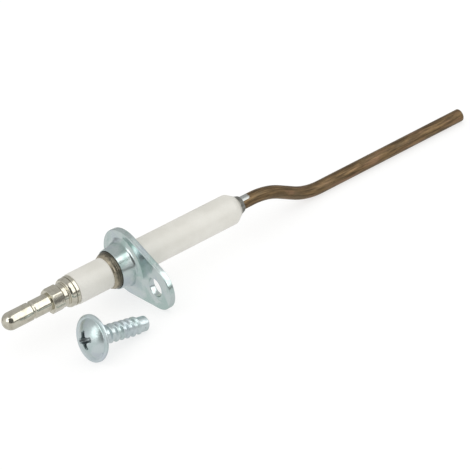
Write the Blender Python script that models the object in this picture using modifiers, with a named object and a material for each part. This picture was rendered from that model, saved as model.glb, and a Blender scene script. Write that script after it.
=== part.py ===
"""Ignition electrode for a gas or oil burner: a ceramic insulator on a cranked heat-resistant rod, with a plug
terminal at one end, a mounting flange crimped on near it, and the flange's fixing screw lying beside it.

Metres, +Z up, standing as it lies on a table: the flange rests on its straight edge and the rod on its tip. The
electrode's axis is parallel to X, with the plug at -X and the spark end at +X. The origin is on the table, below
the middle of the part's box."""

import math

import bmesh
import bpy
from mathutils import Vector

MM = 0.001
SEGMENTS = 40  # sides of a turned piece

# Gap between pieces that touch on the real object
SEAT_GAP = 0.05 * MM
# How far a fillet runs into the body that it joins, and how far a cutter reaches past a face
SINK = 0.05 * MM
OVERRUN = 0.1 * MM

# Electrode rod
ROD_RADIUS = 1.5 * MM
ROD_BEVEL_RESOLUTION = 10  # 24 sides
BEND_DISTANCE = 8.55 * MM  # from the insulator's end to the corner of the first bend
BEND_RUN = 11.3 * MM  # along the axis between the corners of the two bends
BEND_SIDE = 1.0 * MM  # sideways part of the crank, towards +Y
BEND_RADIUS = 16.0 * MM
BEND_STEPS = 7
SPARK_LENGTH = 46.3 * MM  # from the corner of the second bend to the tip
TIP_CHAMFER = 0.25 * MM
TAIL_LENGTH = 5.0 * MM  # of the rod inside the terminal plug

# Ceramic insulator
CERAMIC_RADIUS = 3.5 * MM
CERAMIC_LENGTH = 44.15 * MM
CERAMIC_REACH = 15.3 * MM  # from the mounting face to the insulator's plug end
CERAMIC_NOSE = 1.65 * MM  # length of the cone at the spark end
CERAMIC_SHOULDER = 1.0 * MM  # rounding where the cone starts
CERAMIC_CHAMFER = 0.25 * MM
CERAMIC_LAND = 0.1 * MM  # flat ring between the cone and the counterbore
CERAMIC_BORE_CLEARANCE = 0.15 * MM
CERAMIC_BORE = ROD_RADIUS + CERAMIC_BORE_CLEARANCE
CEMENT_THICKNESS = 0.8 * MM  # between the rod and the wall of a counterbore
COUNTERBORE_RADIUS = ROD_RADIUS + CEMENT_THICKNESS
COUNTERBORE_DEPTH = 3.0 * MM

# Mounting flange: a hub around the insulator and a lobe around the screw hole
SLEEVE_SPACE = 0.75 * MM  # between the insulator and the hole through the flange
SLEEVE_BORE_RADIUS = CERAMIC_RADIUS + SLEEVE_SPACE
COLLAR_MOUTH_WALL = 0.25 * MM
COLLAR_MOUTH_RADIUS = SLEEVE_BORE_RADIUS + COLLAR_MOUTH_WALL
COLLAR_FOOT_WALL = 1.05 * MM
COLLAR_FOOT_RADIUS = SLEEVE_BORE_RADIUS + COLLAR_FOOT_WALL
COLLAR_FILLET = 1.3 * MM
COLLAR_HEIGHT = 3.75 * MM  # above the plate's front face
HUB_BORDER = 2.35 * MM  # of flat plate, from the collar's foot to the edge
HUB_RADIUS = COLLAR_FOOT_RADIUS + HUB_BORDER
PLATE_THICKNESS = 1.35 * MM
PLATE_EDGE = 0.4 * MM  # rounding of the plate's edges
PLATE_STEPS = 14  # along the lobe's arc; the hub's takes twice as many

# Crimp sleeve and packing
SLEEVE_LIP = 1.65 * MM  # length that shows in front of the flange's collar
SLEEVE_LIP_WALL = 0.14 * MM
SLEEVE_LIP_SWELL = 0.55  # share of the lip's rise reached halfway along it
SLEEVE_LIP_LAND = 0.33 * MM  # straight part of the lip next to the collar
SLEEVE_WALL = 0.3 * MM
PACKING_LENGTH = 3.0 * MM

# Plug terminal, bush and washer
PIN_RADIUS = 2.0 * MM
PIN_LENGTH = 11.5 * MM
GROOVE_DISTANCE = 4.35 * MM  # from the hexagon to the snap groove
GROOVE_DEPTH = 0.2 * MM
GROOVE_WIDTH = 0.6 * MM
HEX_FLATS = 5.25 * MM
HEX_LENGTH = 2.75 * MM
HEX_FACE_INSET = 0.1 * MM  # from the flats to the round face that the corner chamfers leave
HEX_CHAMFER_DEGREES = 25.0
HEX_TURN_DEGREES = -16.0
TAIL_CLEARANCE = 0.06 * MM
TAIL_BORE_RADIUS = ROD_RADIUS + TAIL_CLEARANCE
TAIL_BORE_SPARE = 0.4 * MM
NECK_RADIUS = 2.6 * MM
NECK_LENGTH = 1.25 * MM
BEAD_STEP = 0.22 * MM  # how much smaller the bush's bead is than the insulator
BEAD_RADIUS = CERAMIC_RADIUS - BEAD_STEP
BEAD_LENGTH = 1.4 * MM
BEAD_FRONT_ROUND = 0.63 * MM
BEAD_BACK_ROUND = 0.32 * MM
WASHER_STEP = 0.14 * MM  # how much smaller the washer is than the insulator
WASHER_RADIUS = CERAMIC_RADIUS - WASHER_STEP
WASHER_THICKNESS = 0.75 * MM
WASHER_CHAMFER = 0.12 * MM

# Rod collar
ROD_COLLAR_WALL = 0.7 * MM
ROD_COLLAR_END_WALL = 0.38 * MM
ROD_COLLAR_LENGTH = 1.3 * MM
ROD_COLLAR_SPIGOT = 1.2 * MM

# Fixing screw
SCREW_LENGTH = 14.0 * MM
SCREW_CREST_RADIUS = 2.05 * MM
THREAD_DEPTH = 0.43 * MM
SCREW_ROOT_RADIUS = SCREW_CREST_RADIUS - THREAD_DEPTH
SCREW_PITCH = 1.5 * MM
RIDGE_FOOT = 0.32  # half the width of a thread ridge at its foot, in pitches
RIDGE_CREST = 0.06  # half the width of its crest, in pitches
THREAD_RUNOUT = 0.5  # plain shank before the first ridge and after the last one, in pitches
POINT_STEP = 0.03 * MM  # how much wider the plain point is than the thread's root
SCREW_POINT_RADIUS = SCREW_ROOT_RADIUS + POINT_STEP
SCREW_POINT_LENGTH = 2.3 * MM
SCREW_POINT_LEAD = 0.4 * MM
SCREW_POINT_CHAMFER = 0.35 * MM
SCREW_SEGMENTS = 28
HEAD_RADIUS = 5.1 * MM
HEAD_RIM = 0.55 * MM
HEAD_HEIGHT = 2.6 * MM
HEAD_FILLET = 0.42 * MM
RECESS_SPAN = 4.4 * MM
RECESS_WIDTH = 1.1 * MM
RECESS_DEPTH = 1.9 * MM
RECESS_SPAN_TAPER = 0.55  # how much of the span a blade gains or loses from its middle to its ends
RECESS_WIDTH_TAPER = 0.25
RECESS_TURN_DEGREES = -21.0
SCREW_ASIDE = 15.8 * MM  # from the electrode's axis to the middle of the screw's head
SCREW_BEHIND = 21.7 * MM  # from the mounting face to the middle of the screw's head, towards the plug
SCREW_TURN_DEGREES = 4.0

# Screw hole and lobe of the flange
SCREW_HOLE_CLEARANCE = 0.1 * MM
SCREW_HOLE_RADIUS = SCREW_CREST_RADIUS + SCREW_HOLE_CLEARANCE
LOBE_WALL = 3.05 * MM
LOBE_RADIUS = SCREW_HOLE_RADIUS + LOBE_WALL
LOBE_OFFSET = 2.75 * MM  # from the hub's edge to the middle of the screw hole
LOBE_SPACING = HUB_RADIUS + LOBE_OFFSET

# Stations along the electrode's axis, from the mounting face
CERAMIC_START = -CERAMIC_REACH
CERAMIC_END = CERAMIC_START + CERAMIC_LENGTH
COLLAR_MOUTH = -PLATE_THICKNESS - COLLAR_HEIGHT
WASHER_START = CERAMIC_START - SEAT_GAP - WASHER_THICKNESS
BUSH_END = WASHER_START - SEAT_GAP
BUSH_START = BUSH_END - BEAD_LENGTH - NECK_LENGTH
HEX_END = BUSH_START - SEAT_GAP
HEX_START = HEX_END - HEX_LENGTH
TAIL_END = HEX_END - TAIL_LENGTH


def clear_scene():
    for obj in list(bpy.data.objects):
        bpy.data.objects.remove(obj, do_unlink=True)


def new_collection(name, hidden=False):
    collection = bpy.data.collections.new(name)
    collection.hide_render = hidden
    bpy.context.scene.collection.children.link(collection)
    return collection


def principled(name, colour, roughness, metallic):
    material = bpy.data.materials.new(name)
    material.use_nodes = True
    shader = material.node_tree.nodes["Principled BSDF"]
    shader.inputs["Base Color"].default_value = (*colour, 1.0)
    shader.inputs["Roughness"].default_value = roughness
    shader.inputs["Metallic"].default_value = metallic
    return material


def arc(centre, radius, start_degrees, end_degrees, steps):
    """Points (station, radius) on an arc in the plane of a turned profile."""
    points = []
    for i in range(steps + 1):
        angle = math.radians(start_degrees + (end_degrees - start_degrees) * i / steps)
        points.append((centre[0] + radius * math.cos(angle), centre[1] + radius * math.sin(angle)))
    return points


def turned(name, outside, inside, collection, segments=SEGMENTS):
    """A body turned about local Z. Both outlines list (station, radius) with rising stations. Without an inside
    outline the outside one starts and ends on the axis."""
    loop = list(reversed(outside)) + list(inside)
    mesh = bpy.data.meshes.new(name)
    shape = bmesh.new()
    ring = [shape.verts.new((radius, 0.0, station)) for station, radius in loop]
    for first, second in zip(ring, ring[1:]):
        shape.edges.new((first, second))
    if inside:
        shape.edges.new((ring[-1], ring[0]))
    shape.to_mesh(mesh)
    shape.free()
    obj = bpy.data.objects.new(name, mesh)
    collection.objects.link(obj)
    spin = obj.modifiers.new("turn", "SCREW")
    spin.axis = "Z"
    spin.steps = segments
    spin.render_steps = segments
    spin.use_merge_vertices = True
    spin.merge_threshold = 1e-6
    spin.use_smooth_shade = False
    return obj


def bake(obj):
    """Replaces the object's mesh, or the curve object itself, by its evaluated mesh with the loose seams welded."""
    bpy.context.view_layer.update()
    evaluated = obj.evaluated_get(bpy.context.evaluated_depsgraph_get())
    mesh = bpy.data.meshes.new_from_object(evaluated)
    shape = bmesh.new()
    shape.from_mesh(mesh)
    bmesh.ops.remove_doubles(shape, verts=shape.verts, dist=1e-6)
    bmesh.ops.recalc_face_normals(shape, faces=shape.faces)
    shape.to_mesh(mesh)
    shape.free()
    if obj.type == "MESH":
        obj.modifiers.clear()
        obj.data = mesh
        return obj
    name = obj.name
    collection = obj.users_collection[0]
    matrix = obj.matrix_world.copy()
    bpy.data.objects.remove(obj, do_unlink=True)
    solid = bpy.data.objects.new(name, mesh)
    solid.matrix_world = matrix
    collection.objects.link(solid)
    return solid


def boolean(obj, operation, other):
    modifier = obj.modifiers.new(f"{operation.lower()} {other.name}", "BOOLEAN")
    modifier.operation = operation
    modifier.solver = "EXACT"
    modifier.object = other


def as_cutter(obj):
    obj.hide_render = True
    obj.display_type = "WIRE"
    return obj


def finish(obj, material, parent, smooth_degrees=35.0):
    """Gives the piece its material and shading, and stands it on its parent's axis."""
    obj.data.materials.clear()
    obj.data.materials.append(material)
    if obj.type == "MESH":
        obj.data.shade_smooth()
        obj.data.set_sharp_from_angle(angle=math.radians(smooth_degrees))
    obj.parent = parent


def make_ceramic_insulator(parts):
    land = COUNTERBORE_RADIUS + CERAMIC_LAND
    slope = math.atan2(CERAMIC_RADIUS - land, CERAMIC_NOSE)
    shoulder_start = CERAMIC_END - CERAMIC_NOSE - CERAMIC_SHOULDER * math.tan(slope / 2)
    shoulder_centre = (shoulder_start, CERAMIC_RADIUS - CERAMIC_SHOULDER)
    outside = [
        (CERAMIC_START, CERAMIC_RADIUS - CERAMIC_CHAMFER),
        (CERAMIC_START + CERAMIC_CHAMFER, CERAMIC_RADIUS),
        *arc(shoulder_centre, CERAMIC_SHOULDER, 90.0, 90.0 - math.degrees(slope), 4),
        (CERAMIC_END, land),
    ]
    inside = [
        (CERAMIC_START, COUNTERBORE_RADIUS),
        (CERAMIC_START + COUNTERBORE_DEPTH, COUNTERBORE_RADIUS),
        (CERAMIC_START + COUNTERBORE_DEPTH, CERAMIC_BORE),
        (CERAMIC_END - COUNTERBORE_DEPTH, CERAMIC_BORE),
        (CERAMIC_END - COUNTERBORE_DEPTH, COUNTERBORE_RADIUS),
        (CERAMIC_END, COUNTERBORE_RADIUS),
    ]
    return turned("ceramic_insulator", outside, inside, parts)


def ring(name, start, end, outer, inner, parts, chamfer=0.0):
    """A plain ring, with its outer edges chamfered."""
    outside = [(start, outer - chamfer), (start + chamfer, outer), (end - chamfer, outer), (end, outer - chamfer)]
    if chamfer == 0.0:
        outside = [(start, outer), (end, outer)]
    return turned(name, outside, [(start, inner), (end, inner)], parts)


def make_cements(parts):
    """Refractory cement in both counterbores, around the rod."""
    outer = COUNTERBORE_RADIUS - SEAT_GAP
    inner = ROD_RADIUS + SEAT_GAP
    plug_side = ring(
        "plug_end_cement",
        CERAMIC_START + SEAT_GAP,
        CERAMIC_START + COUNTERBORE_DEPTH - SEAT_GAP,
        outer,
        inner,
        parts,
    )
    spark_side = ring(
        "spark_end_cement",
        CERAMIC_END - COUNTERBORE_DEPTH + SEAT_GAP,
        CERAMIC_END - ROD_COLLAR_SPIGOT - SEAT_GAP,
        outer,
        inner,
        parts,
    )
    return plug_side, spark_side


def make_rod_collar(parts):
    """The tapered collar that holds the rod endways: a spigot in the insulator and a cone outside it."""
    spigot = COUNTERBORE_RADIUS - SEAT_GAP
    outside = [
        (CERAMIC_END - ROD_COLLAR_SPIGOT, spigot),
        (CERAMIC_END + SEAT_GAP, spigot),
        (CERAMIC_END + 2 * SEAT_GAP, ROD_RADIUS + ROD_COLLAR_WALL),
        (CERAMIC_END + ROD_COLLAR_LENGTH, ROD_RADIUS + ROD_COLLAR_END_WALL),
    ]
    inner = ROD_RADIUS + SEAT_GAP
    inside = [(CERAMIC_END - ROD_COLLAR_SPIGOT, inner), (CERAMIC_END + ROD_COLLAR_LENGTH, inner)]
    return turned("rod_collar", outside, inside, parts)


def make_crimp_sleeve(parts):
    """Steel sleeve between insulator and flange: its lip closes on the insulator, and its shoulder on the collar."""
    start = COLLAR_MOUTH - SLEEVE_LIP
    lip_inner = CERAMIC_RADIUS + SEAT_GAP
    body_outer = SLEEVE_BORE_RADIUS - SEAT_GAP
    shoulder = COLLAR_MOUTH - SEAT_GAP
    outside = [
        (start, lip_inner + SLEEVE_LIP_WALL / 2),
        (start + SLEEVE_LIP_WALL, lip_inner + SLEEVE_LIP_WALL),
        (start + SLEEVE_LIP / 2, lip_inner + SLEEVE_LIP_WALL + SLEEVE_LIP_SWELL * (body_outer - lip_inner)),
        (shoulder - SLEEVE_LIP_LAND, body_outer + SEAT_GAP),
        (shoulder, body_outer + SEAT_GAP),
        (shoulder, body_outer),
        (-SEAT_GAP, body_outer),
    ]
    inside = [
        (start, lip_inner),
        (COLLAR_MOUTH, lip_inner),
        (COLLAR_MOUTH + SLEEVE_WALL, body_outer - SLEEVE_WALL),
        (-SEAT_GAP, body_outer - SLEEVE_WALL),
    ]
    return turned("crimp_sleeve", outside, inside, parts)


def make_packing(parts):
    """Soft packing ring that the sleeve squeezes onto the insulator."""
    outer = SLEEVE_BORE_RADIUS - SLEEVE_WALL - 2 * SEAT_GAP
    start = COLLAR_MOUTH + SLEEVE_WALL + 2 * SEAT_GAP
    return ring("packing_ring", start, start + PACKING_LENGTH, outer, CERAMIC_RADIUS + SEAT_GAP, parts)


def teardrop(hub, lobe, across, drop, steps):
    """Outline around a hub circle at the origin and a lobe circle at (drop, -across)."""
    spacing = math.hypot(across, drop)
    towards = math.atan2(-across, drop)
    spread = math.acos((hub - lobe) / spacing)
    points = []
    for i in range(steps + 1):
        angle = towards - spread + 2 * spread * i / steps
        points.append((drop + lobe * math.cos(angle), -across + lobe * math.sin(angle)))
    for i in range(2 * steps + 1):
        angle = towards + spread + 2 * (math.pi - spread) * i / (2 * steps)
        points.append((hub * math.cos(angle), hub * math.sin(angle)))
    return points


def lobe_place():
    """How far the screw hole lies across from the axis and below it, with the plate's straight edge level."""
    drop = HUB_RADIUS - LOBE_RADIUS
    return math.sqrt(LOBE_SPACING**2 - drop**2), drop


def make_mounting_flange(parts, cutters):
    across, drop = lobe_place()
    curve = bpy.data.curves.new("mounting_flange", "CURVE")
    curve.dimensions = "2D"
    curve.fill_mode = "BOTH"
    curve.extrude = PLATE_THICKNESS / 2 - PLATE_EDGE
    curve.bevel_depth = PLATE_EDGE
    curve.bevel_resolution = 1
    outline = teardrop(HUB_RADIUS - PLATE_EDGE, LOBE_RADIUS - PLATE_EDGE, across, drop, PLATE_STEPS)
    spline = curve.splines.new("POLY")
    spline.points.add(len(outline) - 1)
    for point, (x, y) in zip(spline.points, outline):
        point.co = (x, y, 0.0, 1.0)
    spline.use_cyclic_u = True
    plate = bpy.data.objects.new("mounting_flange", curve)
    plate.location.z = -PLATE_THICKNESS / 2
    parts.objects.link(plate)
    plate = bake(plate)

    front = -PLATE_THICKNESS
    fillet_centre = (front + SINK - COLLAR_FILLET, COLLAR_FOOT_RADIUS + COLLAR_FILLET)
    outside = [
        (COLLAR_MOUTH, COLLAR_MOUTH_RADIUS - COLLAR_MOUTH_WALL / 2),
        (COLLAR_MOUTH + COLLAR_MOUTH_WALL / 2, COLLAR_MOUTH_RADIUS),
        *arc(fillet_centre, COLLAR_FILLET, -75.0, 0.0, 5),
        (front / 2, COLLAR_FOOT_RADIUS + COLLAR_FILLET),
    ]
    inner = SLEEVE_BORE_RADIUS - SEAT_GAP
    collar = as_cutter(turned("collar", outside, [(COLLAR_MOUTH, inner), (front / 2, inner)], cutters))
    sleeve_hole = round_cutter("sleeve_hole", SLEEVE_BORE_RADIUS, (0.0, 0.0), cutters)
    screw_hole = round_cutter("screw_hole", SCREW_HOLE_RADIUS, (drop, -across), cutters)
    boolean(plate, "UNION", collar)
    boolean(plate, "DIFFERENCE", sleeve_hole)
    boolean(plate, "DIFFERENCE", screw_hole)
    return plate, (collar, sleeve_hole, screw_hole)


def round_cutter(name, radius, place, cutters):
    """A cylinder that runs well past both faces of the flange."""
    mesh = bpy.data.meshes.new(name)
    shape = bmesh.new()
    bmesh.ops.create_cone(
        shape,
        cap_ends=True,
        segments=SEGMENTS,
        radius1=radius,
        radius2=radius,
        depth=4 * (COLLAR_HEIGHT + PLATE_THICKNESS),
    )
    shape.to_mesh(mesh)
    shape.free()
    obj = bpy.data.objects.new(name, mesh)
    obj.location = (place[0], place[1], 0.0)
    cutters.objects.link(obj)
    return as_cutter(obj)


def make_terminal_plug(parts, cutters):
    """Plug pin with a domed nose and a snap groove, on a hexagon with chamfered corners, bored for the rod's tail."""
    corner = HEX_FLATS / math.sqrt(3.0)
    pin_start = HEX_START - PIN_LENGTH
    groove = HEX_START - GROOVE_DISTANCE
    nose = arc((pin_start + PIN_RADIUS, 0.0), PIN_RADIUS, 180.0, 90.0, 8)
    nose[0] = (pin_start, 0.0)
    outside = [
        *nose,
        (groove - GROOVE_WIDTH / 2, PIN_RADIUS),
        (groove, PIN_RADIUS - GROOVE_DEPTH),
        (groove + GROOVE_WIDTH / 2, PIN_RADIUS),
        (HEX_START + HEX_LENGTH / 2, PIN_RADIUS),
        (HEX_START + HEX_LENGTH / 2, 0.0),
    ]
    plug = turned("terminal_plug", outside, [], parts)

    mesh = bpy.data.meshes.new("hexagon")
    shape = bmesh.new()
    bmesh.ops.create_cone(
        shape, cap_ends=True, segments=6, radius1=corner, radius2=corner, depth=HEX_LENGTH
    )
    shape.to_mesh(mesh)
    shape.free()
    hexagon = bpy.data.objects.new("hexagon", mesh)
    hexagon.location.z = HEX_START + HEX_LENGTH / 2
    hexagon.rotation_euler.z = math.radians(HEX_TURN_DEGREES)
    cutters.objects.link(hexagon)

    fall = math.tan(math.radians(HEX_CHAMFER_DEGREES))
    face = HEX_FLATS / 2 - HEX_FACE_INSET
    wide = corner + OVERRUN
    slope_length = (wide - face) * fall
    chamfer_outline = [
        (HEX_START - OVERRUN, 0.0),
        (HEX_START - OVERRUN, face - OVERRUN / fall),
        (HEX_START + slope_length, wide),
        (HEX_END - slope_length, wide),
        (HEX_END + OVERRUN, face - OVERRUN / fall),
        (HEX_END + OVERRUN, 0.0),
    ]
    chamfer = as_cutter(turned("hexagon_chamfer", chamfer_outline, [], cutters))
    boolean(hexagon, "INTERSECT", chamfer)
    as_cutter(hexagon)

    depth = TAIL_LENGTH + TAIL_BORE_SPARE
    bore_outline = [
        (HEX_END - depth - TAIL_BORE_RADIUS / 2, 0.0),
        (HEX_END - depth, TAIL_BORE_RADIUS),
        (HEX_END + depth, TAIL_BORE_RADIUS),
        (HEX_END + depth, 0.0),
    ]
    bore = as_cutter(turned("tail_bore", bore_outline, [], cutters))
    boolean(plug, "UNION", hexagon)
    boolean(plug, "DIFFERENCE", bore)
    return plug, (hexagon, chamfer, bore)


def make_clamp_bush(parts):
    """Turned bush between the hexagon and the washer: a neck that widens into a rounded bead."""
    bead_start = BUSH_END - BEAD_LENGTH
    front_centre = (bead_start + BEAD_FRONT_ROUND, BEAD_RADIUS - BEAD_FRONT_ROUND)
    back_centre = (BUSH_END - BEAD_BACK_ROUND, BEAD_RADIUS - BEAD_BACK_ROUND)
    outside = [
        (BUSH_START, NECK_RADIUS - SEAT_GAP),
        (BUSH_START + SEAT_GAP, NECK_RADIUS),
        (bead_start, NECK_RADIUS),
        *arc(front_centre, BEAD_FRONT_ROUND, 180.0, 90.0, 4),
        *arc(back_centre, BEAD_BACK_ROUND, 90.0, 0.0, 3),
    ]
    return turned("clamp_bush", outside, [(BUSH_START, TAIL_BORE_RADIUS), (BUSH_END, TAIL_BORE_RADIUS)], parts)


def crank():
    """Drop and sideways shift of the rod's spark end: its underside is level with the flange's straight edge."""
    return HUB_RADIUS - ROD_RADIUS, BEND_SIDE


def bend_points(before, corner, after, radius, steps):
    """A corner between two straight runs, rounded to an arc."""
    incoming = (corner - before).normalized()
    outgoing = (after - corner).normalized()
    turn = incoming.angle(outgoing)
    tangent = radius * math.tan(turn / 2)
    start = corner - incoming * tangent
    across = (outgoing - incoming * incoming.dot(outgoing)).normalized()
    centre = start + across * radius
    points = []
    for i in range(steps + 1):
        angle = turn * i / steps
        points.append(centre - across * radius * math.cos(angle) + incoming * radius * math.sin(angle))
    return points


def make_electrode_rod(parts):
    drop, side = crank()
    first = Vector((0.0, 0.0, CERAMIC_END + BEND_DISTANCE))
    second = Vector((drop, side, first.z + BEND_RUN))
    start = Vector((0.0, 0.0, TAIL_END))
    tip = second + Vector((0.0, 0.0, SPARK_LENGTH))
    points = [start, *bend_points(start, first, second, BEND_RADIUS, BEND_STEPS)]
    points += [*bend_points(first, second, tip, BEND_RADIUS, BEND_STEPS), tip]
    curve = bpy.data.curves.new("electrode_rod", "CURVE")
    curve.dimensions = "3D"
    curve.bevel_depth = ROD_RADIUS
    curve.bevel_resolution = ROD_BEVEL_RESOLUTION
    curve.use_fill_caps = True
    spline = curve.splines.new("POLY")
    spline.points.add(len(points) - 1)
    for knot, point in zip(spline.points, points):
        knot.co = (*point, 1.0)
    rod = bpy.data.objects.new("electrode_rod", curve)
    parts.objects.link(rod)
    rod = bake(rod)
    edges = rod.modifiers.new("tip chamfer", "BEVEL")
    edges.width = TIP_CHAMFER
    edges.segments = 1
    edges.limit_method = "ANGLE"
    edges.angle_limit = math.radians(60.0)
    return rod


def screw_tilt():
    """How far the lying screw's point is lower than its head: the head's rim and the point both touch the table."""
    return math.atan2(HEAD_RADIUS - SCREW_POINT_RADIUS, SCREW_LENGTH)


def make_fixing_screw(parts, cutters):
    """Flat-ended thread-forming screw: the ridges stand for its thread. Local Z runs from the head to the point."""
    dome_rise = HEAD_HEIGHT - HEAD_RIM
    dome_radius = (HEAD_RADIUS**2 + dome_rise**2) / (2 * dome_rise)
    dome_edge = math.degrees(math.asin(HEAD_RADIUS / dome_radius))
    dome = arc((dome_radius - HEAD_HEIGHT, 0.0), dome_radius, 180.0, 180.0 - dome_edge, 8)
    dome[0] = (-HEAD_HEIGHT, 0.0)
    outside = [
        *dome,
        (0.0, HEAD_RADIUS),
        (0.0, SCREW_ROOT_RADIUS + HEAD_FILLET),
        (HEAD_FILLET, SCREW_ROOT_RADIUS),
    ]
    threaded = SCREW_LENGTH - SCREW_POINT_LENGTH
    turns = int(threaded / SCREW_PITCH - THREAD_RUNOUT)
    for i in range(turns):
        crest = (THREAD_RUNOUT + i + 0.5) * SCREW_PITCH
        outside.append((crest - RIDGE_FOOT * SCREW_PITCH, SCREW_ROOT_RADIUS))
        outside.append((crest - RIDGE_CREST * SCREW_PITCH, SCREW_CREST_RADIUS))
        outside.append((crest + RIDGE_CREST * SCREW_PITCH, SCREW_CREST_RADIUS))
        outside.append((crest + RIDGE_FOOT * SCREW_PITCH, SCREW_ROOT_RADIUS))
    outside += [
        (threaded, SCREW_ROOT_RADIUS),
        (threaded + SCREW_POINT_LEAD, SCREW_POINT_RADIUS),
        (SCREW_LENGTH - SCREW_POINT_CHAMFER, SCREW_POINT_RADIUS),
        (SCREW_LENGTH, SCREW_POINT_RADIUS - SCREW_POINT_CHAMFER),
        (SCREW_LENGTH, 0.0),
    ]
    screw = turned("fixing_screw", outside, [], parts, SCREW_SEGMENTS)
    blades = []
    for turn in (0.0, 90.0):
        blade = recess_blade(f"recess_blade_{turn:.0f}", cutters)
        blade.rotation_euler.z = math.radians(turn + RECESS_TURN_DEGREES)
        boolean(screw, "DIFFERENCE", blade)
        blades.append(blade)
    return screw, blades


def recess_blade(name, cutters):
    """One arm of the cross recess: a wedge, wide at the head's face and narrow at the bottom."""
    mesh = bpy.data.meshes.new(name)
    shape = bmesh.new()
    bmesh.ops.create_cube(shape, size=1.0)
    for corner in shape.verts:
        end = math.copysign(1.0, corner.co.z)
        corner.co.x *= RECESS_SPAN * (1 - RECESS_SPAN_TAPER * end)
        corner.co.y *= RECESS_WIDTH * (1 - RECESS_WIDTH_TAPER * end)
        corner.co.z *= 2 * RECESS_DEPTH
    shape.to_mesh(mesh)
    shape.free()
    blade = bpy.data.objects.new(name, mesh)
    blade.location.z = -HEAD_HEIGHT
    cutters.objects.link(blade)
    return as_cutter(blade)


def new_axis(name, collection, parent=None):
    axis = bpy.data.objects.new(name, None)
    axis.empty_display_size = 5 * MM
    collection.objects.link(axis)
    axis.parent = parent
    return axis


def centre_over_origin(parts, origin):
    """Moves everything so that the middle of the part's box is above the origin."""
    bpy.context.view_layer.update()
    graph = bpy.context.evaluated_depsgraph_get()
    low = Vector((math.inf, math.inf))
    high = Vector((-math.inf, -math.inf))
    for obj in parts.objects:
        if obj.type != "MESH":
            continue
        evaluated = obj.evaluated_get(graph)
        for vertex in evaluated.data.vertices:
            place = evaluated.matrix_world @ vertex.co
            for k in range(2):
                low[k] = min(low[k], place[k])
                high[k] = max(high[k], place[k])
    middle = (low + high) / 2
    origin.location.x = -middle.x
    origin.location.y = -middle.y


def main():
    clear_scene()
    parts = new_collection("ignition_electrode")
    cutters = new_collection("cutters", hidden=True)

    nickel = principled("nickel_plate", (0.66, 0.63, 0.57), 0.22, 1.0)
    bush_nickel = principled("bush_nickel", (0.62, 0.59, 0.53), 0.25, 1.0)
    washer_nickel = principled("washer_nickel", (0.64, 0.61, 0.55), 0.25, 1.0)
    glazed = principled("alumina", (0.71, 0.70, 0.66), 0.42, 0.0)
    cement = principled("cement", (0.62, 0.58, 0.50), 0.9, 0.0)
    zinc = principled("zinc_plate", (0.50, 0.56, 0.57), 0.35, 1.0)
    scaled_steel = principled("scaled_steel", (0.20, 0.15, 0.09), 0.4, 1.0)
    graphite = principled("graphite", (0.06, 0.06, 0.065), 0.7, 0.0)
    heat_alloy = principled("oxidised_alloy", (0.20, 0.14, 0.07), 0.5, 1.0)
    bare_steel = principled("bare_steel", (0.33, 0.33, 0.30), 0.4, 1.0)
    screw_zinc = principled("screw_zinc", (0.50, 0.56, 0.58), 0.3, 1.0)

    origin = new_axis("part_origin", parts)
    axis = new_axis("electrode_axis", parts, origin)
    axis.location.z = HUB_RADIUS
    axis.rotation_euler.y = math.radians(90.0)

    finish(make_ceramic_insulator(parts), glazed, axis)
    for piece in make_cements(parts):
        finish(piece, cement, axis)
    finish(make_rod_collar(parts), bare_steel, axis)
    finish(make_crimp_sleeve(parts), scaled_steel, axis)
    finish(make_packing(parts), graphite, axis)
    flange, flange_cutters = make_mounting_flange(parts, cutters)
    finish(flange, zinc, axis)
    plug, plug_cutters = make_terminal_plug(parts, cutters)
    finish(plug, nickel, axis)
    finish(make_clamp_bush(parts), bush_nickel, axis)
    washer = ring(
        "end_washer",
        WASHER_START,
        CERAMIC_START - SEAT_GAP,
        WASHER_RADIUS,
        TAIL_BORE_RADIUS,
        parts,
        WASHER_CHAMFER,
    )
    finish(washer, washer_nickel, axis)
    finish(make_electrode_rod(parts), heat_alloy, axis)
    for cutter in (*flange_cutters, *plug_cutters):
        cutter.parent = axis

    tilt = screw_tilt()
    turn = math.radians(SCREW_TURN_DEGREES)
    along = Vector((math.cos(tilt) * math.cos(turn), math.cos(tilt) * math.sin(turn), -math.sin(tilt)))
    screw_axis = new_axis("screw_axis", parts, origin)
    screw_axis.location = (-SCREW_BEHIND, -SCREW_ASIDE, HEAD_RADIUS * math.cos(tilt))
    screw_axis.rotation_euler = along.to_track_quat("Z", "Y").to_euler()
    screw, blades = make_fixing_screw(parts, cutters)
    finish(screw, screw_zinc, screw_axis)
    for blade in blades:
        blade.parent = screw_axis

    centre_over_origin(parts, origin)


main()
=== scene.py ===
"""Looks of the ignition electrode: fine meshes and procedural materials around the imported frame."""

import math

import bmesh
import bpy
import numpy as np
from mathutils import Matrix, Vector


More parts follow.
